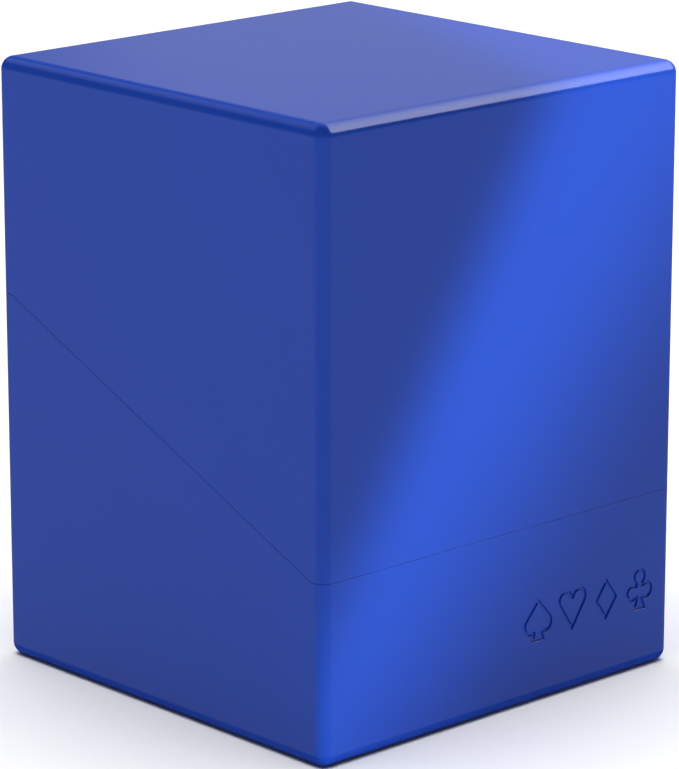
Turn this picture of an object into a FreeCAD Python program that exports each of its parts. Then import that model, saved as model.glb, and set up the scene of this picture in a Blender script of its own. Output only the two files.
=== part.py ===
"""Card deck box: a lift-off lid over a base with a card tray, all moulded plastic.

Frame: millimetres, +Z up, origin at the middle of the underside. The front is -Y, where the
seam between lid and base runs low. From there the seam climbs along both sides to the rear.

Three mouldings:
  lid_shell   outer cover: ceiling and four walls, down to the seam
  base_shell  outer case below the seam, with its floor, foot ring and grooved emblem
  card_tray   liner inside the base; it stands proud of the seam, and the lid slides over it
"""

import FreeCAD
import Part
import math
import os

V = FreeCAD.Vector

# Outside of the closed box.
WIDTH = 77.3
DEPTH = 76.5
HEIGHT = 100.0
EDGE_RADIUS = 2.1

# Seam, seen from the side: level at the front, straight up the side, level at the rear.
SEAM_FRONT_Z = 29.6
SEAM_REAR_Z = 61.4
SEAM_BEND_Y = 35.6
SEAM_BEND_RADIUS = 2.5
SEAM_GAP = 0.06
LIP_ROUND = 0.03

# Walls of the lid and of the base's outer case.
SHELL_WALL = 1.8
CEILING = 2.0
SHELL_INNER_RADIUS = 0.9

# Underside of the base: a foot ring around a shallow recess, with the gate mark in the middle.
FLOOR_TOP_Z = 2.0
FOOT_RING = 6.0
FOOT_RECESS = 0.5
FOOT_RECESS_RADIUS = 4.0
GATE_RADIUS = 3.0
GATE_STUB_RADIUS = 0.9
GATE_DEPTH = 0.3

# Card tray.
FIT_CLEARANCE = 0.15
TRAY_WALL = 1.4
TRAY_FLOOR = 1.2
TRAY_OUTER_RADIUS = 1.2
TRAY_INNER_RADIUS = 0.8
TONGUE = 14.0
RIM_ROUND = 0.45

# Ribs on the outside of the tray: low ones wedge it in the base, high ones steady the lid.
RIB_SPREAD = 22.0
RIB_ROOT = 0.6
WEDGE_WIDTH = 3.0
WEDGE_START_Z = 5.0
WEDGE_LENGTH = 18.0
GRIP_WIDTH = 1.6
GRIP_PROUD = 0.1
GRIP_END_MARGIN = 2.5

# Round marks left by the ejector pins.
PIN_RADIUS = 2.5
PIN_DEPTH = 0.15
PIN_SPREAD = 24.0

# Emblem in the front of the base: the outlines of the four playing-card suits, as grooves.
EMBLEM_DEPTH = 0.3
EMBLEM_LINE = 0.5
EMBLEM_MID_X = 19.5
EMBLEM_MID_Z = 13.8
SUIT_SIZE = 7.0
SUIT_PITCH = 7.8

INNER_WIDTH = WIDTH - 2 * SHELL_WALL
INNER_DEPTH = DEPTH - 2 * SHELL_WALL
TRAY_WIDTH = INNER_WIDTH - 2 * FIT_CLEARANCE
TRAY_DEPTH = INNER_DEPTH - 2 * FIT_CLEARANCE
WELL_FLOOR_Z = FLOOR_TOP_Z + TRAY_FLOOR

# Past the outside of every piece, for the blocks that cut them.
FAR = 200.0
NEAR = 1e-6


def is_upright(edge):
    start, end = edge.Vertexes[0], edge.Vertexes[-1]
    return abs(start.X - end.X) < NEAR and abs(start.Y - end.Y) < NEAR


def lies_at(edge, height):
    return all(abs(vertex.Z - height) < NEAR for vertex in edge.Vertexes)


def rounded_box(width, depth, low, high, side_radius, top_radius=0.0, bottom_radius=0.0):
    """A block centred on the Z axis, with rounded upright edges, and the others where asked."""
    body = Part.makeBox(width, depth, high - low, V(-width / 2, -depth / 2, low))
    if side_radius == top_radius == bottom_radius:
        return body.makeFillet(side_radius, body.Edges)
    body = body.makeFillet(side_radius, [e for e in body.Edges if is_upright(e)])
    for radius, height in ((top_radius, high), (bottom_radius, low)):
        if radius:
            body = body.makeFillet(radius, [e for e in body.Edges if lies_at(e, height)])
    return body


def seam_z(y):
    """Height of the seam at a place along the side, leaving out its two small bends."""
    share = (y + SEAM_BEND_Y) / (2 * SEAM_BEND_Y)
    share = min(1.0, max(0.0, share))
    return SEAM_FRONT_Z + share * (SEAM_REAR_Z - SEAM_FRONT_Z)


def side_point(y, z):
    return V(-FAR, y, z)


def bend(before, corner, after):
    """The start, middle and end of the arc that rounds a corner of the seam."""
    back = (before - corner).normalize()
    onward = (after - corner).normalize()
    half_angle = back.getAngle(onward) / 2
    tangent = SEAM_BEND_RADIUS / math.tan(half_angle)
    reach = SEAM_BEND_RADIUS / math.sin(half_angle) - SEAM_BEND_RADIUS
    middle = corner + (back + onward).normalize() * reach
    return corner + back * tangent, middle, corner + onward * tangent


def seam_block(rise, above):
    """Everything above, or below, the seam when the seam is moved up by rise."""
    front = side_point(-FAR, SEAM_FRONT_Z + rise)
    low = side_point(-SEAM_BEND_Y, SEAM_FRONT_Z + rise)
    high = side_point(SEAM_BEND_Y, SEAM_REAR_Z + rise)
    rear = side_point(FAR, SEAM_REAR_Z + rise)
    limit = FAR if above else -FAR
    low_start, low_middle, low_end = bend(front, low, high)
    high_start, high_middle, high_end = bend(low, high, rear)
    outline = [
        Part.LineSegment(front, low_start),
        Part.Arc(low_start, low_middle, low_end),
        Part.LineSegment(low_end, high_start),
        Part.Arc(high_start, high_middle, high_end),
        Part.LineSegment(high_end, rear),
        Part.LineSegment(rear, side_point(FAR, limit)),
        Part.LineSegment(side_point(FAR, limit), side_point(-FAR, limit)),
        Part.LineSegment(side_point(-FAR, limit), front),
    ]
    side_face = Part.Face(Part.Wire([piece.toShape() for piece in outline]))
    return side_face.extrude(V(2 * FAR, 0, 0))


def round_rim(body, rise, radius):
    """Round both long edges of the rim that follows the seam at a height of rise above it."""
    near_rim = SEAM_BEND_RADIUS * 0.1
    rim = [f for f in body.Faces if all(abs(v.Z - seam_z(v.Y) - rise) < near_rim for v in f.Vertexes)]
    edges = [edge for face in rim for edge in face.Edges]
    once = [edge for edge in edges if sum(edge.isSame(other) for other in edges) == 1]
    return body.makeFillet(radius, once)


def pin_marks(low_z):
    """Four shallow discs, low_z being their underside."""
    corners = [V(x, y, low_z) for x in (-PIN_SPREAD, PIN_SPREAD) for y in (-PIN_SPREAD, PIN_SPREAD)]
    return Part.makeCompound([Part.makeCylinder(PIN_RADIUS, PIN_DEPTH, corner) for corner in corners])


def make_lid():
    outside = rounded_box(WIDTH, DEPTH, 0, HEIGHT, EDGE_RADIUS, EDGE_RADIUS, EDGE_RADIUS)
    inside = rounded_box(
        INNER_WIDTH, INNER_DEPTH, -1, HEIGHT - CEILING, SHELL_INNER_RADIUS, SHELL_INNER_RADIUS
    )
    lid = outside.common(seam_block(SEAM_GAP / 2, above=True)).cut(inside)
    lid = round_rim(lid, SEAM_GAP / 2, LIP_ROUND)
    return lid.cut(pin_marks(HEIGHT - CEILING))


# Each suit is a flat face in X and Z around its own middle, SUIT_SIZE tall. The corners of every
# patch run clockwise as seen from the front, so that the faces merge.


def patch(*corners):
    points = [V(x * SUIT_SIZE, 0, z * SUIT_SIZE) for x, z in corners]
    return Part.Face(Part.makePolygon([*points, points[0]]))


def disc(x, z, radius):
    circle = Part.Circle(V(x * SUIT_SIZE, 0, z * SUIT_SIZE), V(0, 1, 0), radius * SUIT_SIZE)
    return Part.Face(Part.Wire(circle.toShape()))


def two_lobes(tip_z, lobe_z):
    """A heart, or a spade's head: two discs whose outer sides run straight to one tip."""
    radius, out = 0.235, 0.225
    reach = math.hypot(out, tip_z - lobe_z)
    toward_tip = math.atan2(tip_z - lobe_z, -out)
    spread = math.acos(radius / reach)
    touch_angle = toward_tip + math.copysign(spread, lobe_z - tip_z)
    touch_x = out + radius * math.cos(touch_angle)
    touch_z = lobe_z + radius * math.sin(touch_angle)
    first = math.copysign(1, tip_z - lobe_z)
    between = patch(
        (0, tip_z),
        (first * touch_x, touch_z),
        (first * out, lobe_z),
        (-first * out, lobe_z),
        (-first * touch_x, touch_z),
    )
    return between.fuse([disc(-out, lobe_z, radius), disc(out, lobe_z, radius)])


def stem():
    return patch((0, 0.05), (0.22, -0.5), (-0.22, -0.5))


def spade():
    return stem().fuse(two_lobes(tip_z=0.5, lobe_z=-0.1).Faces)


def heart():
    return two_lobes(tip_z=-0.5, lobe_z=0.26)


def diamond():
    return patch((0, 0.5), (0.37, 0), (0, -0.5), (-0.37, 0))


def club():
    leaves = [disc(0, 0.295, 0.205), disc(-0.23, -0.06, 0.205), disc(0.23, -0.06, 0.205)]
    middle = patch((-0.2, 0), (0, 0.25), (0.2, 0), (0, -0.12))
    return middle.fuse([*leaves, stem()])


def emblem_cutter():
    """The suits' outlines as bands EMBLEM_LINE wide that reach EMBLEM_DEPTH into the front wall."""
    bands = []
    suits = [spade(), heart(), diamond(), club()]
    for index, suit in enumerate(suits):
        x = EMBLEM_MID_X + (index - (len(suits) - 1) / 2) * SUIT_PITCH
        face, = suit.removeSplitter().Faces
        middle = face.makeOffset2D(-EMBLEM_LINE)
        band = face.cut(middle).extrude(V(0, 1 + EMBLEM_DEPTH, 0))
        band.translate(V(x, -DEPTH / 2 - 1, EMBLEM_MID_Z))
        bands.append(band)
    return Part.makeCompound(bands)


def foot_cutter():
    """The underside's recess, with a dimple around the stub where the plastic was fed in."""
    recess_width, recess_depth = WIDTH - 2 * FOOT_RING, DEPTH - 2 * FOOT_RING
    recess = rounded_box(recess_width, recess_depth, -1, FOOT_RECESS, FOOT_RECESS_RADIUS)
    dimple = Part.makeCylinder(GATE_RADIUS, GATE_DEPTH, V(0, 0, FOOT_RECESS))
    stub = Part.makeCylinder(GATE_STUB_RADIUS, GATE_DEPTH, V(0, 0, FOOT_RECESS))
    return recess.fuse(dimple.cut(stub))


def make_base():
    outside = rounded_box(WIDTH, DEPTH, 0, HEIGHT, EDGE_RADIUS, EDGE_RADIUS, EDGE_RADIUS)
    inside = rounded_box(
        INNER_WIDTH, INNER_DEPTH, FLOOR_TOP_Z, HEIGHT, SHELL_INNER_RADIUS, 0, SHELL_INNER_RADIUS
    )
    base = outside.common(seam_block(-SEAM_GAP / 2, above=False)).cut(inside)
    base = round_rim(base, -SEAM_GAP / 2, LIP_ROUND)
    return base.cut(foot_cutter()).cut(emblem_cutter())


def wedge_rib():
    """A flat rib on a wall that faces +X at x = 0; it just reaches the base's inside."""
    corner = V(-RIB_ROOT, -WEDGE_WIDTH / 2, WEDGE_START_Z)
    return Part.makeBox(RIB_ROOT + FIT_CLEARANCE, WEDGE_WIDTH, WEDGE_LENGTH, corner)


def grip_rib(low_z):
    """A gently rounded rib on a wall that faces +X at x = 0."""
    length = TONGUE - 2 * GRIP_END_MARGIN
    radius = (GRIP_WIDTH**2 / 4 + GRIP_PROUD**2) / (2 * GRIP_PROUD)
    bar = Part.makeCylinder(radius, length, V(GRIP_PROUD - radius, 0, low_z))
    slab = Part.makeBox(2 * RIB_ROOT, 2 * radius, length, V(-RIB_ROOT, -radius, low_z))
    return bar.common(slab)


def tray_ribs():
    """Two wedge ribs and two grip ribs on each of the tray's four walls."""
    ribs = []
    walls = {0: TRAY_WIDTH / 2, 90: TRAY_DEPTH / 2, 180: TRAY_WIDTH / 2, 270: TRAY_DEPTH / 2}
    for turn, wall in walls.items():
        for along in (-RIB_SPREAD, RIB_SPREAD):
            angle = math.radians(turn)
            y = wall * math.sin(angle) + along * math.cos(angle)
            for rib in (wedge_rib(), grip_rib(seam_z(y) + GRIP_END_MARGIN)):
                rib.translate(V(wall, along, 0))
                rib.rotate(V(0, 0, 0), V(0, 0, 1), turn)
                ribs.append(rib)
    return ribs


def make_tray():
    outside = rounded_box(
        TRAY_WIDTH, TRAY_DEPTH, FLOOR_TOP_Z, HEIGHT, TRAY_OUTER_RADIUS, 0, TRAY_OUTER_RADIUS
    )
    well_width, well_depth = TRAY_WIDTH - 2 * TRAY_WALL, TRAY_DEPTH - 2 * TRAY_WALL
    well = rounded_box(
        well_width, well_depth, WELL_FLOOR_Z, HEIGHT + 1, TRAY_INNER_RADIUS, 0, TRAY_INNER_RADIUS
    )
    tray = outside.common(seam_block(TONGUE, above=False)).cut(well)
    tray = round_rim(tray, TONGUE, RIM_ROUND)
    return tray.fuse(tray_ribs()).cut(pin_marks(WELL_FLOOR_Z - PIN_DEPTH)).removeSplitter()


def save(name, shape):
    """Write one piece, and print what it came to."""
    solid, = shape.Solids
    solid.exportStep(f"parts/{name}.step")
    box = solid.optimalBoundingBox()
    size = f"{box.XLength:.2f} x {box.YLength:.2f} x {box.ZLength:.2f} mm"
    print(f"{name}: valid {solid.isValid()}, {size}, {solid.Volume / 1000:.2f} cm3")


os.makedirs("parts", exist_ok=True)
save("lid_shell", make_lid())
save("base_shell", make_base())
save("card_tray", make_tray())
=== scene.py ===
"""The looks of the card deck box: its three mouldings as fine meshes, their plastic, light, camera.

Lengths of the box, of the floor's drop and of the camera's placing are millimetres, and become
metres where MM multiplies them. Places and sizes of lights and of the floor are metres.
"""

import bmesh
import bpy
import math
from mathutils import Matrix, Vector


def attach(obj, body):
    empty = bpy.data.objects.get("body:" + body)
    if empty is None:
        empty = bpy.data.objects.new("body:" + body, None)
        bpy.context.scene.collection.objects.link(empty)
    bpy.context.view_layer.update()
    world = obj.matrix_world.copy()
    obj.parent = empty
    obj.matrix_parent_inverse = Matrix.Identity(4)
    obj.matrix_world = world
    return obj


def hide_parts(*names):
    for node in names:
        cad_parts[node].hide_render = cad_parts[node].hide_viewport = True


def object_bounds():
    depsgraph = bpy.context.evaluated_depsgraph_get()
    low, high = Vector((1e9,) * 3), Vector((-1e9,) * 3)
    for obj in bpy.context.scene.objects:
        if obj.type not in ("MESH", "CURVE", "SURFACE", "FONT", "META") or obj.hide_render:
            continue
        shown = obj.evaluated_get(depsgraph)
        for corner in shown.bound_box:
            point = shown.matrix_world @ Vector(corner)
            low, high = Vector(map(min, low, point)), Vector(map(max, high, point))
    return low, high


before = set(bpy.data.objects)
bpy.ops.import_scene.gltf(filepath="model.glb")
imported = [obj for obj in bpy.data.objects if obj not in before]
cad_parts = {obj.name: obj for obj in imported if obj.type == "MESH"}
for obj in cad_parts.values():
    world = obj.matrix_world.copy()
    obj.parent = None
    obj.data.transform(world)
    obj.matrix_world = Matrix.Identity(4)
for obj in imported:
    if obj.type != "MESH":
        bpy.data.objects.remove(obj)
cad_low, cad_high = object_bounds()

MM = 0.001

# Outside of the closed box.
WIDTH, DEPTH, HEIGHT = (cad_high - cad_low) / MM
EDGE_RADIUS = 2.1

# Seam, seen from the side: level at the front, straight up the side, level at the rear.
SEAM_FRONT_Z = 29.6
SEAM_REAR_Z = 61.4
SEAM_BEND_Y = 35.6
SEAM_BEND_RADIUS = 2.5
SEAM_GAP = 0.06
LIP_ROUND = 0.03

# Lid and base.
SHELL_WALL = 1.8
CEILING = 2.0
SHELL_INNER_RADIUS = 0.9
FLOOR_TOP_Z = 2.0
FOOT_RING = 6.0
FOOT_RECESS = 0.5
FOOT_RECESS_RADIUS = 4.0
FOOT_EDGE_ROUND = 0.15
GATE_RADIUS = 3.0
GATE_STUB_RADIUS = 0.9
GATE_DEPTH = 0.3

# Card tray.
FIT_CLEARANCE = 0.15
TRAY_WALL = 1.4
TRAY_FLOOR = 1.2
TRAY_OUTER_RADIUS = 1.2
TRAY_INNER_RADIUS = 0.8
TONGUE = 14.0
RIM_ROUND = 0.45

# Ribs on the outside of the tray.
RIB_SPREAD = 22.0
RIB_ROOT = 0.6
WEDGE_WIDTH = 3.0
WEDGE_START_Z = 5.0
WEDGE_LENGTH = 18.0
GRIP_WIDTH = 1.6
GRIP_PROUD = 0.1
GRIP_END_MARGIN = 2.5

# Ejector pin marks.
PIN_RADIUS = 2.5
PIN_DEPTH = 0.15
PIN_SPREAD = 24.0

# Emblem: the outlines of the four playing-card suits in a row, as grooves.
EMBLEM_DEPTH = 0.3
EMBLEM_LINE = 0.5
EMBLEM_EDGE_ROUND = 0.07
EMBLEM_EDGE_TURN = 60.0
EMBLEM_MID_X = 19.5
EMBLEM_MID_Z = 13.8
SUIT_SIZE = 7.0
SUIT_PITCH = 7.8

# How finely curves are divided.
EDGE_STEPS = 14
SMALL_STEPS = 4
BEND_STEPS = 4
CIRCLE_STEPS = 48
CORNER_STEPS = 8

# Points closer than SAME_PLACE are one point. Points within NEAR of a face lie in it.
SAME_PLACE = 1e-4
NEAR = 1e-3

# Edges that turn more than this, in degrees, are not shaded smooth.
SHARP_TURN = 40.0


# ---------------------------------------------------------------- shells


def seam_z(y):
    """Height of the seam: level, a small arc, the climb, a small arc, level."""
    if y > 0:
        return SEAM_FRONT_Z + SEAM_REAR_Z - seam_z(-y)
    climb = math.atan2(SEAM_REAR_Z - SEAM_FRONT_Z, 2 * SEAM_BEND_Y)
    run = y + SEAM_BEND_Y + SEAM_BEND_RADIUS * math.tan(climb / 2)
    if run <= 0:
        return SEAM_FRONT_Z
    if run < SEAM_BEND_RADIUS * math.sin(climb):
        return SEAM_FRONT_Z + SEAM_BEND_RADIUS - math.sqrt(SEAM_BEND_RADIUS**2 - run**2)
    return SEAM_FRONT_Z + (y + SEAM_BEND_Y) * math.tan(climb)


def side_shares():
    """Where a side wall is divided, as shares of its straight half: close together at the bends."""
    climb = math.atan2(SEAM_REAR_Z - SEAM_FRONT_Z, 2 * SEAM_BEND_Y)
    start = SEAM_BEND_Y + SEAM_BEND_RADIUS * math.tan(climb / 2)
    straight = DEPTH / 2 - EDGE_RADIUS
    run = SEAM_BEND_RADIUS * math.sin(climb)
    inner = [(start - run * step / BEND_STEPS) / straight for step in range(1, BEND_STEPS + 1)]
    return [-share for share in inner] + inner[::-1]


def ring(inset, corner, z, on_seam=False):
    """Points round the box at an inset from its outside, with rounded corners, anticlockwise."""
    half_x, half_y = WIDTH / 2 - inset, DEPTH / 2 - inset
    corner = max(corner, 0.0)
    straight_x, straight_y = half_x - corner, half_y - corner
    outline = []
    for quarter, (sign_x, sign_y) in enumerate(((1, 1), (-1, 1), (-1, -1), (1, -1))):
        for step in range(EDGE_STEPS + 1):
            angle = math.pi / 2 * (quarter + step / EDGE_STEPS)
            x = sign_x * straight_x + corner * math.cos(angle)
            y = sign_y * straight_y + corner * math.sin(angle)
            outline.append((x, y))
        if quarter == 1:
            outline += [(-half_x, -share * straight_y) for share in side_shares()]
        if quarter == 3:
            outline += [(half_x, share * straight_y) for share in side_shares()]
    return [Vector((x, y, z + (seam_z(y) if on_seam else 0.0))) for x, y in outline]


def turn(face, centre, radius, start, end, on_seam=False):
    """Rings of a rounded edge. face is the (inset, corner radius) of the wall it belongs to,
    centre is (inset, height), and the angles run from inward over up, in degrees."""
    steps = EDGE_STEPS if radius > 1 else SMALL_STEPS
    rings = []
    for step in range(steps + 1):
        angle = math.radians(start + (end - start) * step / steps)
        inset = centre[0] + radius * math.cos(angle)
        z = centre[1] + radius * math.sin(angle)
        rings.append(ring(inset, face[1] + face[0] - inset, z, on_seam))
    return rings


def skin(bm, rings):
    """A closed surface through the rings, capped by the first and the last."""
    loops = [[bm.verts.new(point) for point in points] for points in rings]
    for lower, upper in zip(loops, loops[1:]):
        for index in range(len(lower)):
            after = (index + 1) % len(lower)
            bm.faces.new((lower[index], lower[after], upper[after], upper[index]))
    bm.faces.new(loops[0][::-1])
    bm.faces.new(loops[-1])
    bmesh.ops.remove_doubles(bm, verts=bm.verts[:], dist=SAME_PLACE)
    bmesh.ops.recalc_face_normals(bm, faces=bm.faces[:])


OUTER = (0.0, EDGE_RADIUS)
INNER = (SHELL_WALL, SHELL_INNER_RADIUS)
TRAY_OUT = (SHELL_WALL + FIT_CLEARANCE, TRAY_OUTER_RADIUS)
TRAY_IN = (SHELL_WALL + FIT_CLEARANCE + TRAY_WALL, TRAY_INNER_RADIUS)


def lid_rings():
    r, q, lip = LIP_ROUND, SHELL_INNER_RADIUS, SEAM_GAP / 2
    return [
        *turn(OUTER, (EDGE_RADIUS, HEIGHT - EDGE_RADIUS), EDGE_RADIUS, 90, 180),
        *turn(OUTER, (r, lip + r), r, 180, 270, on_seam=True),
        *turn(INNER, (SHELL_WALL - r, lip + r), r, 270, 360, on_seam=True),
        *turn(INNER, (SHELL_WALL + q, HEIGHT - CEILING - q), q, 180, 90),
    ]


def base_rings():
    r, q, lip = LIP_ROUND, SHELL_INNER_RADIUS, -SEAM_GAP / 2
    e = FOOT_EDGE_ROUND
    recess = (FOOT_RING, FOOT_RECESS_RADIUS)
    return [
        ring(FOOT_RING + e, FOOT_RECESS_RADIUS - e, FOOT_RECESS),
        *turn(recess, (FOOT_RING - e, e), e, 0, -90),
        *turn(OUTER, (EDGE_RADIUS, EDGE_RADIUS), EDGE_RADIUS, 270, 180),
        *turn(OUTER, (r, lip - r), r, 180, 90, on_seam=True),
        *turn(INNER, (SHELL_WALL - r, lip - r), r, 90, 0, on_seam=True),
        *turn(INNER, (SHELL_WALL + q, FLOOR_TOP_Z + q), q, 180, 270),
    ]


def tray_rings():
    r = RIM_ROUND
    out_q, in_q = TRAY_OUTER_RADIUS, TRAY_INNER_RADIUS
    well_floor = FLOOR_TOP_Z + TRAY_FLOOR
    return [
        *turn(TRAY_OUT, (TRAY_OUT[0] + out_q, FLOOR_TOP_Z + out_q), out_q, 270, 180),
        *turn(TRAY_OUT, (TRAY_OUT[0] + r, TONGUE - r), r, 180, 90, on_seam=True),
        *turn(TRAY_IN, (TRAY_IN[0] - r, TONGUE - r), r, 90, 0, on_seam=True),
        *turn(TRAY_IN, (TRAY_IN[0] + in_q, well_floor + in_q), in_q, 180, 270),
    ]


# ---------------------------------------------------------------- cutters and ribs


def prism(bm, outline, z_low, z_high):
    """An upright block over an outline of (x, y) points."""
    low = [bm.verts.new((x, y, z_low)) for x, y in outline]
    high = [bm.verts.new((x, y, z_high)) for x, y in outline]
    sides = []
    for index in range(len(outline)):
        after = (index + 1) % len(outline)
        sides.append(bm.faces.new((low[index], low[after], high[after], high[index])))
    caps = [bm.faces.new(low[::-1]), bm.faces.new(high)]
    bmesh.ops.recalc_face_normals(bm, faces=sides + caps)
    return low + high


def arc(x, y, radius, start, end):
    """Points of an arc from start to end, in degrees."""
    steps = max(4, round(CIRCLE_STEPS * abs(end - start) / 360))
    angles = [math.radians(start + (end - start) * step / steps) for step in range(steps + 1)]
    return [(x + radius * math.cos(angle), y + radius * math.sin(angle)) for angle in angles]


def circle(x, y, radius):
    return arc(x, y, radius, 0, 360)[:-1]


def pin_marks(bm, z_low):
    for x in (-PIN_SPREAD, PIN_SPREAD):
        for y in (-PIN_SPREAD, PIN_SPREAD):
            prism(bm, circle(x, y, PIN_RADIUS), z_low, z_low + 2 * PIN_DEPTH)


def lid_cutter(bm):
    pin_marks(bm, HEIGHT - CEILING - PIN_DEPTH)


def tray_cutter(bm):
    pin_marks(bm, FLOOR_TOP_Z + TRAY_FLOOR - PIN_DEPTH)


def ring_block(bm, outer, inner, z_low, z_high):
    """An upright block between two outlines that have as many points each."""
    rings = []
    for outline, z in ((outer, z_low), (outer, z_high), (inner, z_high), (inner, z_low)):
        rings.append([bm.verts.new((x, y, z)) for x, y in outline])
    for near, far in zip(rings, rings[1:] + rings[:1]):
        for index in range(len(outer)):
            after = (index + 1) % len(outer)
            bm.faces.new((near[index], near[after], far[after], far[index]))
    bmesh.ops.recalc_face_normals(bm, faces=bm.faces[:])


def gate_cutter(bm):
    """It leaves the stub standing in the middle of its dimple."""
    outer, inner = circle(0, 0, GATE_RADIUS), circle(0, 0, GATE_STUB_RADIUS)
    ring_block(bm, outer, inner, FOOT_RECESS - GATE_DEPTH, FOOT_RECESS + GATE_DEPTH)


# Right half of each suit, from top to bottom, as shares of its height, around its middle.
LOBE, LOBE_OUT = 0.235, 0.225
LEAF = 0.205
STEM_FOOT = (0.22, -0.5)


def lobe_side(tip_z, lobe_z, end):
    """From the tip to where its straight side touches the lobe, and round the lobe to an angle."""
    down = math.copysign(1, tip_z - lobe_z)
    toward_tip = math.degrees(math.atan2(abs(tip_z - lobe_z), -LOBE_OUT))
    touch = toward_tip - math.degrees(math.acos(LOBE / math.hypot(LOBE_OUT, tip_z - lobe_z)))
    return [(0.0, tip_z), *arc(LOBE_OUT, lobe_z, LOBE, down * touch, down * end)]


def suit_halves():
    lobes_meet = -180 + math.degrees(math.acos(LOBE_OUT / LOBE))
    spade = [*lobe_side(0.5, -0.1, -109), STEM_FOOT]
    heart = lobe_side(-0.5, 0.26, lobes_meet)[::-1]
    diamond = [(0.0, 0.5), (0.37, 0.0), (0.0, -0.5)]
    club = [*arc(0, 0.295, LEAF, 90, -50), *arc(0.23, -0.06, LEAF, 125, -130), STEM_FOOT]
    return spade, heart, diamond, club


def line_sides(outline, width):
    """Both sides of a line drawn inside a clockwise outline, point for point. The inner side is
    an arc where a corner of the outline points inward."""
    outer, inner = [], []
    points = [Vector(point) for point in outline]
    for before, here, after in zip(points[-1:] + points[:-1], points, points[1:] + points[:1]):
        first, second = ((end - start).normalized() for start, end in ((before, here), (here, after)))
        first, second = (Vector((along.y, -along.x)) for along in (first, second))
        bend = math.atan2(first.cross(second), first.dot(second))
        if bend > math.radians(30):
            for step in range(CORNER_STEPS + 1):
                outer.append(here)
                inner.append(here + Matrix.Rotation(bend * step / CORNER_STEPS, 2) @ first * width)
        else:
            outer.append(here)
            inner.append(here + (first + second) * width / (1 + first.dot(second)))
    return outer, inner


def emblem_cutter(bm):
    """The suits' outlines as bands through the front face, EMBLEM_DEPTH deep."""
    halves = suit_halves()
    for index, right in enumerate(halves):
        x_mid = EMBLEM_MID_X + (index - (len(halves) - 1) / 2) * SUIT_PITCH
        left = [(-x, z) for x, z in reversed(right) if x > 1e-3]
        outline = [(x_mid + x * SUIT_SIZE, z * SUIT_SIZE) for x, z in right + left]
        ring_block(bm, *line_sides(outline, EMBLEM_LINE), -1.0, EMBLEM_DEPTH)
    bmesh.ops.remove_doubles(bm, verts=bm.verts[:], dist=SAME_PLACE)
    lying_to_front = Matrix(
        ((1, 0, 0, 0), (0, 0, 1, -DEPTH / 2), (0, 1, 0, EMBLEM_MID_Z), (0, 0, 0, 1))
    )
    bmesh.ops.transform(bm, matrix=lying_to_front, verts=bm.verts[:])
    bmesh.ops.recalc_face_normals(bm, faces=bm.faces[:])


def tray_ribs(bm):
    """Two wedge ribs and two grip ribs on each of the tray's four walls."""
    wedge = [
        (-RIB_ROOT, -WEDGE_WIDTH / 2),
        (FIT_CLEARANCE, -WEDGE_WIDTH / 2 + FIT_CLEARANCE),
        (FIT_CLEARANCE, WEDGE_WIDTH / 2 - FIT_CLEARANCE),
        (-RIB_ROOT, WEDGE_WIDTH / 2),
    ]
    radius = (GRIP_WIDTH**2 / 4 + GRIP_PROUD**2) / (2 * GRIP_PROUD)
    half_turn = math.degrees(math.asin(GRIP_WIDTH / 2 / radius))
    grip = [(-RIB_ROOT, -GRIP_WIDTH / 2)]
    grip += arc(GRIP_PROUD - radius, 0, radius, -half_turn, half_turn)
    grip += [(-RIB_ROOT, GRIP_WIDTH / 2)]
    half_x, half_y = WIDTH / 2 - TRAY_OUT[0], DEPTH / 2 - TRAY_OUT[0]
    for turn_angle, wall in ((0, half_x), (90, half_y), (180, half_x), (270, half_y)):
        spin = Matrix.Rotation(math.radians(turn_angle), 4, "Z")
        for along in (-RIB_SPREAD, RIB_SPREAD):
            place = spin @ Matrix.Translation((wall, along, 0))
            grip_z = seam_z(place.translation.y) + GRIP_END_MARGIN
            grip_top = grip_z + TONGUE - 2 * GRIP_END_MARGIN
            verts = prism(bm, wedge, WEDGE_START_Z, WEDGE_START_Z + WEDGE_LENGTH)
            verts += prism(bm, grip, grip_z, grip_top)
            bmesh.ops.transform(bm, matrix=place, verts=verts)


# ---------------------------------------------------------------- pieces


def mesh_object(name, fill, *arguments):
    """A linked object whose mesh is filled in millimetres and stored in metres."""
    bm = bmesh.new()
    fill(bm, *arguments)
    bmesh.ops.scale(bm, vec=(MM, MM, MM), verts=bm.verts[:])
    mesh = bpy.data.meshes.new(name)
    bm.to_mesh(mesh)
    bm.free()
    piece = bpy.data.objects.new(name, mesh)
    bpy.context.scene.collection.objects.link(piece)
    return piece


def combine(piece, operation, fill):
    """Cut a filled shape out of the piece, or join it on."""
    tool = mesh_object("tool", fill)
    modifier = piece.modifiers.new(operation, "BOOLEAN")
    modifier.operation = operation
    modifier.solver = "EXACT"
    modifier.object = tool
    bpy.context.view_layer.update()
    seen = piece.evaluated_get(bpy.context.evaluated_depsgraph_get())
    done = bpy.data.meshes.new_from_object(seen)
    piece.modifiers.clear()
    old = piece.data
    piece.data = done
    bpy.data.meshes.remove(old)
    bpy.data.objects.remove(tool)


def soften_emblem(piece):
    """Round the edges where the emblem breaks the front face."""
    bm = bmesh.new()
    bm.from_mesh(piece.data)
    front = -DEPTH / 2 * MM
    reach = 2 * SUIT_PITCH * MM
    edges = []
    for edge in bm.edges:
        at_front = all(abs(vert.co.y - front) < NEAR * MM for vert in edge.verts)
        in_reach = all(abs(vert.co.x - EMBLEM_MID_X * MM) < reach for vert in edge.verts)
        turned = edge.calc_face_angle(0.0) > math.radians(EMBLEM_EDGE_TURN)
        if at_front and in_reach and turned:
            edges.append(edge)
    bmesh.ops.bevel(
        bm, geom=edges, offset=EMBLEM_EDGE_ROUND * MM, segments=2, profile=0.5, affect="EDGES"
    )
    bm.to_mesh(piece.data)
    bm.free()


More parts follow.
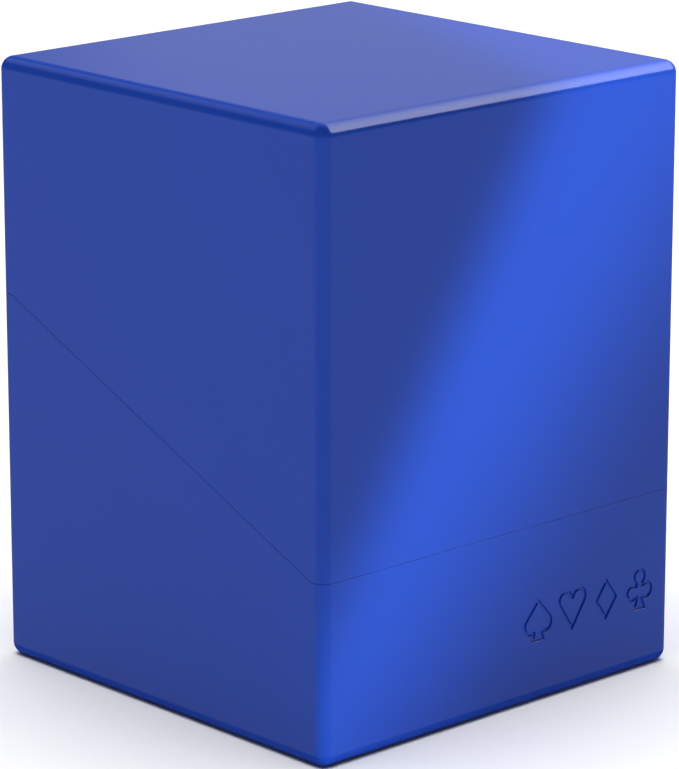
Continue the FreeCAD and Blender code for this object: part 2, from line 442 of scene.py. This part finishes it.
def smooth(piece):
    """Shade smooth, with true edges kept sharp and the flats kept flat."""
    bm = bmesh.new()
    bm.from_mesh(piece.data)
    for face in bm.faces:
        face.smooth = True
    for edge in bm.edges:
        edge.smooth = edge.calc_face_angle(0.0) < math.radians(SHARP_TURN)
    bm.to_mesh(piece.data)
    bm.free()
    modifier = piece.modifiers.new("flat_flats", "WEIGHTED_NORMAL")
    modifier.mode = "FACE_AREA"
    modifier.weight = 50
    modifier.keep_sharp = True


def settle(piece, body, node, material):
    piece.data.materials.clear()
    piece.data.materials.append(material)
    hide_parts(node)
    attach(piece, body)


lid = mesh_object("lid_cover", skin, lid_rings())
combine(lid, "DIFFERENCE", lid_cutter)

base = mesh_object("base_case", skin, base_rings())
combine(base, "DIFFERENCE", gate_cutter)
combine(base, "DIFFERENCE", emblem_cutter)
soften_emblem(base)

tray = mesh_object("tray_liner", skin, tray_rings())
combine(tray, "UNION", tray_ribs)
combine(tray, "DIFFERENCE", tray_cutter)

for piece in (lid, base, tray):
    smooth(piece)


# ---------------------------------------------------------------- materials


def node(tree, kind, x, y, **values):
    """Add a node; values set its properties, or inputs when the name is written like an input."""
    made = tree.nodes.new(kind)
    made.location = (x, y)
    for name, value in values.items():
        if hasattr(made, name):
            setattr(made, name, value)
        else:
            made.inputs[name.replace("_", " ")].default_value = value
    return made


PLASTIC_IOR = 1.33
CLOUD_SHARE = 0.04
HAZE_SHARE = 0.12


def moulded_plastic(name, colour, roughness, grain_size, grain_height):
    """Moulded plastic: a fine grain, faint flow clouds in the colour, and uneven gloss. The grain's
    size and height are in millimetres."""
    material = bpy.data.materials.new(name)
    material.use_nodes = True
    tree = material.node_tree
    shader = tree.nodes["Principled BSDF"]
    shader.inputs["IOR"].default_value = PLASTIC_IOR
    place = node(tree, "ShaderNodeTexCoord", -1200, 0)

    clouds = node(tree, "ShaderNodeTexNoise", -900, 300, Scale=35.0, Detail=3.0)
    tree.links.new(place.outputs["Object"], clouds.inputs["Vector"])
    tint = node(tree, "ShaderNodeMix", -300, 300, data_type="RGBA")
    for end, share in (("A", 1 - CLOUD_SHARE), ("B", 1 + CLOUD_SHARE)):
        tint.inputs[end].default_value = (*[value * share for value in colour], 1)
    tree.links.new(clouds.outputs["Fac"], tint.inputs["Factor"])
    tree.links.new(tint.outputs["Result"], shader.inputs["Base Color"])

    haze = node(tree, "ShaderNodeTexNoise", -900, 0, Scale=90.0, Detail=5.0, Roughness=0.6)
    tree.links.new(place.outputs["Object"], haze.inputs["Vector"])
    gloss = node(tree, "ShaderNodeMapRange", -600, 0)
    gloss.inputs["From Min"].default_value = 0.3
    gloss.inputs["From Max"].default_value = 0.7
    gloss.inputs["To Min"].default_value = roughness * (1 - HAZE_SHARE)
    gloss.inputs["To Max"].default_value = roughness * (1 + HAZE_SHARE)
    tree.links.new(haze.outputs["Fac"], gloss.inputs["Value"])
    tree.links.new(gloss.outputs["Result"], shader.inputs["Roughness"])

    grain = node(tree, "ShaderNodeTexNoise", -900, -300, Scale=1 / (grain_size * MM), Detail=2.0)
    tree.links.new(place.outputs["Object"], grain.inputs["Vector"])
    bump = node(tree, "ShaderNodeBump", -300, -300, Strength=1.0, Distance=grain_height * MM)
    tree.links.new(grain.outputs["Fac"], bump.inputs["Height"])
    tree.links.new(bump.outputs["Normal"], shader.inputs["Normal"])
    return material


BLUE = (0.0101, 0.0585, 0.45)
shell_plastic = moulded_plastic(
    "shell_plastic_blue", BLUE, roughness=0.17, grain_size=0.35, grain_height=0.002
)
tray_plastic = moulded_plastic(
    "tray_plastic_blue", BLUE, roughness=0.42, grain_size=0.5, grain_height=0.012
)

settle(lid, "lid", "lid_shell", shell_plastic)
settle(base, "base", "base_shell", shell_plastic)
settle(tray, "base", "card_tray", tray_plastic)


# ---------------------------------------------------------------- stage and light

# The middle of the box, in metres, which lights and camera look at.
AIM = Vector((0, 0, HEIGHT / 2)) * MM

# The floor lies a hair below the box, so that their faces don't coincide.
FLOOR_HALF = 4.0
FLOOR_DROP = 0.02
FLOOR_IRRADIANCE = 3.8
BACKGROUND_RADIANCE = 1.0

# The way to the viewer's side and to the viewer's right, both level.
CAMERA_AZIMUTH = math.radians(-42.903)
TO_VIEWER = Vector((math.sin(CAMERA_AZIMUTH), -math.cos(CAMERA_AZIMUTH), 0.0))
TO_RIGHT = Vector((math.cos(CAMERA_AZIMUTH), math.sin(CAMERA_AZIMUTH), 0.0))


def collection_of(name, *objects):
    """A collection for light linking only; it isn't linked into the scene."""
    made = bpy.data.collections.new(name)
    for item in objects:
        made.objects.link(item)
    return made


def floor_mesh(bm):
    place = Matrix.Translation((0, 0, -FLOOR_DROP))
    bmesh.ops.create_grid(bm, x_segments=8, y_segments=8, size=FLOOR_HALF / MM, matrix=place)


def paper(name, colour, roughness):
    """Matt studio paper with a barely visible tooth."""
    material = bpy.data.materials.new(name)
    material.use_nodes = True
    tree = material.node_tree
    shader = tree.nodes["Principled BSDF"]
    shader.inputs["Base Color"].default_value = (*colour, 1)
    shader.inputs["Roughness"].default_value = roughness
    shader.inputs["Specular IOR Level"].default_value = 0.0
    place = node(tree, "ShaderNodeTexCoord", -700, 0)
    tooth = node(tree, "ShaderNodeTexNoise", -500, 0, Scale=900.0, Detail=2.0)
    tree.links.new(place.outputs["Object"], tooth.inputs["Vector"])
    bump = node(tree, "ShaderNodeBump", -250, 0, Strength=0.2, Distance=0.0001)
    tree.links.new(tooth.outputs["Fac"], bump.inputs["Height"])
    tree.links.new(bump.outputs["Normal"], shader.inputs["Normal"])
    return material


def aim_light(light, back, distance):
    """Link a light that looks back at the box from a direction and distance."""
    made = bpy.data.objects.new(light.name, light)
    bpy.context.scene.collection.objects.link(made)
    back = Vector(back).normalized()
    made.location = AIM + back * distance
    made.rotation_mode = "QUATERNION"
    made.rotation_quaternion = back.to_track_quat("Z", "Y")
    made.visible_camera = False
    return made


def softbox(name, back, distance, size_x, size_y, radiance):
    light = bpy.data.lights.new(name, "AREA")
    light.shape = "RECTANGLE"
    light.size, light.size_y = size_x, size_y
    light.energy = radiance * size_x * size_y * math.pi
    return aim_light(light, back, distance)


def ramp(tree, source, start, end, x, y, low=0.0, high=1.0):
    """low where the source is at start, high where it is at end, and eased at both."""
    made = node(tree, "ShaderNodeMapRange", x, y, interpolation_type="SMOOTHSTEP")
    rising = start < end
    made.inputs["From Min"].default_value = start if rising else end
    made.inputs["From Max"].default_value = end if rising else start
    made.inputs["To Min"].default_value = low if rising else high
    made.inputs["To Max"].default_value = high if rising else low
    tree.links.new(source, made.inputs["Value"])
    return made.outputs["Result"]


def calculate(tree, operation, first, second, x, y):
    made = node(tree, "ShaderNodeMath", x, y, operation=operation)
    for index, value in enumerate((first, second)):
        if isinstance(value, float):
            made.inputs[index].default_value = value
        else:
            tree.links.new(value, made.inputs[index])
    return made.outputs["Value"]


def blend_values(tree, factor, first, second, x, y):
    made = node(tree, "ShaderNodeMix", x, y)
    tree.links.new(factor, made.inputs["Factor"])
    for name, value in (("A", first), ("B", second)):
        if isinstance(value, float):
            made.inputs[name].default_value = value
        else:
            tree.links.new(value, made.inputs[name])
    return made.outputs["Result"]


def share_along(tree, direction, axis, x, y):
    """How far a direction points along a level axis, from -1 to 1."""
    made = node(tree, "ShaderNodeVectorMath", x, y, operation="DOT_PRODUCT")
    tree.links.new(direction, made.inputs[0])
    made.inputs[1].default_value = axis
    return made.outputs["Value"]


# TABLE_EDGE and HORIZON are heights on a unit sphere around the box. The depths and ROOM_WIDTH are
# as share_along gives them.
TABLE_DEPTH = (-1.0, 0.1)
TABLE_RADIANCE = (0.1, 0.78)
VIEWER_DEPTH = (0.2, 0.8)
VIEWER_SHARE = 0.7
TABLE_EDGE = (-0.48, -0.32)
UNDER_SHARE = 0.08
HORIZON = (-0.13, 0.0)
ROOM_WIDTH = (-0.11, -0.04)
ROOM_DEPTH = (-0.3, -0.65)
ROOM_RADIANCE = (0.11, 0.385)


def studio_world():
    """The room that the plastic mirrors. Below the horizon is a pale table: dim far behind, a
    little dimmer near the viewer, and dark close below the box. Above it is a dim room, brighter
    behind on the right. The viewer sees plain white past the floor."""
    world = bpy.data.worlds.new("studio")
    world.use_nodes = True
    tree = world.node_tree
    place = node(tree, "ShaderNodeTexCoord", -1400, 0)
    direction = place.outputs["Generated"]
    parts = node(tree, "ShaderNodeSeparateXYZ", -1200, 200)
    tree.links.new(direction, parts.inputs["Vector"])
    rise = parts.outputs["Z"]
    nearer = share_along(tree, direction, TO_VIEWER, -1200, 0)
    rightward = share_along(tree, direction, TO_RIGHT, -1200, -200)
    table = ramp(tree, nearer, *TABLE_DEPTH, -900, 0, *TABLE_RADIANCE)
    viewer = ramp(tree, nearer, *VIEWER_DEPTH, -900, 100, 1.0, VIEWER_SHARE)
    table = calculate(tree, "MULTIPLY", table, viewer, -700, 0)
    lit_side = ramp(tree, rightward, *ROOM_WIDTH, -900, -200)
    lit_back = ramp(tree, nearer, *ROOM_DEPTH, -900, -300)
    lit = calculate(tree, "MULTIPLY", lit_side, lit_back, -700, -200)
    room = blend_values(tree, lit, *ROOM_RADIANCE, -600, -100)
    above = ramp(tree, rise, *HORIZON, -900, 200)
    clear = ramp(tree, rise, *TABLE_EDGE, -900, 400, UNDER_SHARE)
    around = blend_values(tree, above, table, room, -600, 0)
    around = calculate(tree, "MULTIPLY", around, clear, -400, 0)
    path = node(tree, "ShaderNodeLightPath", -600, 300)
    seen = blend_values(tree, path.outputs["Is Camera Ray"], around, BACKGROUND_RADIANCE, -200, 0)
    tree.links.new(seen, tree.nodes["Background"].inputs["Strength"])
    tree.nodes["Background"].inputs["Color"].default_value = (1, 1, 1, 1)
    return world


floor = mesh_object("studio_floor", floor_mesh)
floor.data.materials.append(paper("studio_paper", (0.86, 0.86, 0.86), 0.9))
floor.visible_glossy = False

the_box = collection_of("the_box", lid, base, tray)
the_floor = collection_of("the_floor", floor)

bpy.context.scene.world = studio_world()


# The overhead strip is a curved bank of light on the box's right, from low behind it, over the top,
# to low in front. The front's upper edge mirrors a cone of directions around X, and the strip lies
# along that cone. Its radiance grows toward the front.
STRIP_RADIUS = 1.2
STRIP_SPAN = (35.0, 151.0)
STRIP_SHARES = (0.42, 0.86)
STRIP_STEPS = 60
STRIP_RADIANCE = (0.64, 8.8)
STRIP_GROWTH = (45.0, 143.0)


def strip_mesh(bm):
    rows = []
    for step in range(STRIP_STEPS + 1):
        angle = math.radians(STRIP_SPAN[0] + (STRIP_SPAN[1] - STRIP_SPAN[0]) * step / STRIP_STEPS)
        row = []
        for share in STRIP_SHARES:
            reach = math.sqrt(1 - share**2)
            way = Vector((share, reach * math.cos(angle), reach * math.sin(angle)))
            row.append(bm.verts.new((AIM + way * STRIP_RADIUS) / MM))
        rows.append(row)
    for near, far in zip(rows, rows[1:]):
        bm.faces.new((near[0], near[1], far[1], far[0]))


def strip_glow():
    """Light that grows with the angle at which the strip stands over the box."""
    material = bpy.data.materials.new("strip_glow")
    material.use_nodes = True
    tree = material.node_tree
    tree.nodes.remove(tree.nodes["Principled BSDF"])
    glow = node(tree, "ShaderNodeEmission", 0, 0)
    tree.links.new(glow.outputs["Emission"], tree.nodes["Material Output"].inputs["Surface"])
    place = node(tree, "ShaderNodeTexCoord", -1000, 0)
    parts = node(tree, "ShaderNodeSeparateXYZ", -800, 0)
    tree.links.new(place.outputs["Object"], parts.inputs["Vector"])
    height = calculate(tree, "SUBTRACT", parts.outputs["Z"], AIM.z, -600, -100)
    angle = calculate(tree, "ARCTAN2", height, parts.outputs["Y"], -400, 0)
    start, end = (math.radians(value) for value in STRIP_GROWTH)
    strength = ramp(tree, angle, start, end, -200, 0, *STRIP_RADIANCE)
    tree.links.new(strength, glow.inputs["Strength"])
    return material


strip = mesh_object("overhead_strip", strip_mesh)
strip.data.materials.append(strip_glow())
for flag in ("visible_camera", "visible_diffuse", "visible_shadow", "visible_transmission"):
    setattr(strip, flag, False)

# The left card is what the top's left edge mirrors. The two fills light the plastic's own colour.
left_card = softbox("left_card", (-0.24, 0.71, 0.66), 1.4, size_x=1.1, size_y=0.4, radiance=0.62)
left_fill = softbox("left_fill", (-0.82, -0.2, 0.54), 0.6, size_x=0.6, size_y=0.6, radiance=0.46)
rear_fill = softbox("rear_fill", (0.35, 0.4, 0.85), 1.5, size_x=1.0, size_y=1.0, radiance=9.3)
for light in (left_card, left_fill, rear_fill):
    light.light_linking.receiver_collection = the_box
left_card.visible_diffuse = False
for fill in (left_fill, rear_fill):
    fill.visible_glossy = False

# A wide sky over the floor alone. The box casts a soft shadow in it.
SKY_ANGLE = 60.0
SKY_DISTANCE = 2.5

sky = bpy.data.lights.new("floor_wash", "SUN")
sky.energy = FLOOR_IRRADIANCE
sky.angle = math.radians(SKY_ANGLE)
wash = aim_light(sky, (0.0, 0.0, 1.0), SKY_DISTANCE)
wash.light_linking.receiver_collection = the_floor

# The band light crosses the front face as a slanting bar: crisp on its left, fading to the right.
BAND_BACK = (-0.04, -0.848, 0.529)
BAND_ACROSS = (-0.804, 0.341, 0.486)
BAND_DISTANCE = 1.5
BAND_POWER = 91.0
BAND_CONE = 24.0
BAND_SOURCE_RADIUS = 0.004
BAND_RISE = (11.6, -5.4)
BAND_FALL = (-50.8, -8.1)
BAND_FAN = 0.175


def band_ramp(tree, source, start, end, x, y):
    """The ends are millimetres at the box."""
    return ramp(tree, source, *(value * MM / BAND_DISTANCE for value in (start, end)), x, y)


def band_light():
    light = bpy.data.lights.new("band_light", "SPOT")
    light.energy = BAND_POWER
    light.spot_size = math.radians(BAND_CONE)
    light.spot_blend = 0.0
    light.shadow_soft_size = BAND_SOURCE_RADIUS
    light.use_nodes = True
    tree = light.node_tree
    place = node(tree, "ShaderNodeTexCoord", -1200, 0)
    parts = node(tree, "ShaderNodeSeparateXYZ", -1000, 0)
    tree.links.new(place.outputs["Normal"], parts.inputs["Vector"])
    ahead = calculate(tree, "MULTIPLY", parts.outputs["Z"], -1.0, -800, -200)
    across = calculate(tree, "DIVIDE", parts.outputs["X"], ahead, -600, 100)
    along = calculate(tree, "DIVIDE", parts.outputs["Y"], ahead, -600, -100)
    fan = calculate(tree, "MULTIPLY", along, -BAND_FAN, -400, -100)
    fanned = calculate(tree, "ADD", across, fan, -200, -100)
    rise = band_ramp(tree, across, *BAND_RISE, 0, 100)
    fall = band_ramp(tree, fanned, *BAND_FALL, 0, -100)
    strength = calculate(tree, "MULTIPLY", rise, fall, 200, 0)
    tree.links.new(strength, tree.nodes["Emission"].inputs["Strength"])
    made = aim_light(light, BAND_BACK, BAND_DISTANCE)
    back = Vector(BAND_BACK).normalized()
    across_axis = Vector(BAND_ACROSS)
    across_axis = (across_axis - back * across_axis.dot(back)).normalized()
    along_axis = back.cross(across_axis)
    made.rotation_quaternion = Matrix((across_axis, along_axis, back)).transposed().to_quaternion()
    made.visible_glossy = False
    made.light_linking.receiver_collection = the_box
    return made


band_light()


# ---------------------------------------------------------------- camera

CAMERA_ELEVATION = math.radians(15.171)
CAMERA_DISTANCE = 667.417
CAMERA_ASIDE = 0.252
CAMERA_RAISED = -3.565
CAMERA_LENS = 193.45

camera = bpy.data.objects.new("camera", bpy.data.cameras.new("camera"))
bpy.context.scene.collection.objects.link(camera)
bpy.context.scene.camera = camera
level = math.cos(CAMERA_ELEVATION)
back = Vector(
    (
        math.sin(CAMERA_AZIMUTH) * level,
        -math.cos(CAMERA_AZIMUTH) * level,
        math.sin(CAMERA_ELEVATION),
    )
)
right = TO_RIGHT
up = back.cross(right)
camera.location = AIM + (back * CAMERA_DISTANCE + right * CAMERA_ASIDE + up * CAMERA_RAISED) * MM
camera.rotation_mode = "QUATERNION"
camera.rotation_quaternion = Matrix((right, up, back)).transposed().to_quaternion()
camera.data.sensor_width = 36.0
camera.data.lens = CAMERA_LENS
camera.data.clip_start, camera.data.clip_end = 0.01, 20.0

view = bpy.context.scene.view_settings
view.view_transform = "Standard"
view.look = "None"
view.exposure = 0.0
view.gamma = 1.0
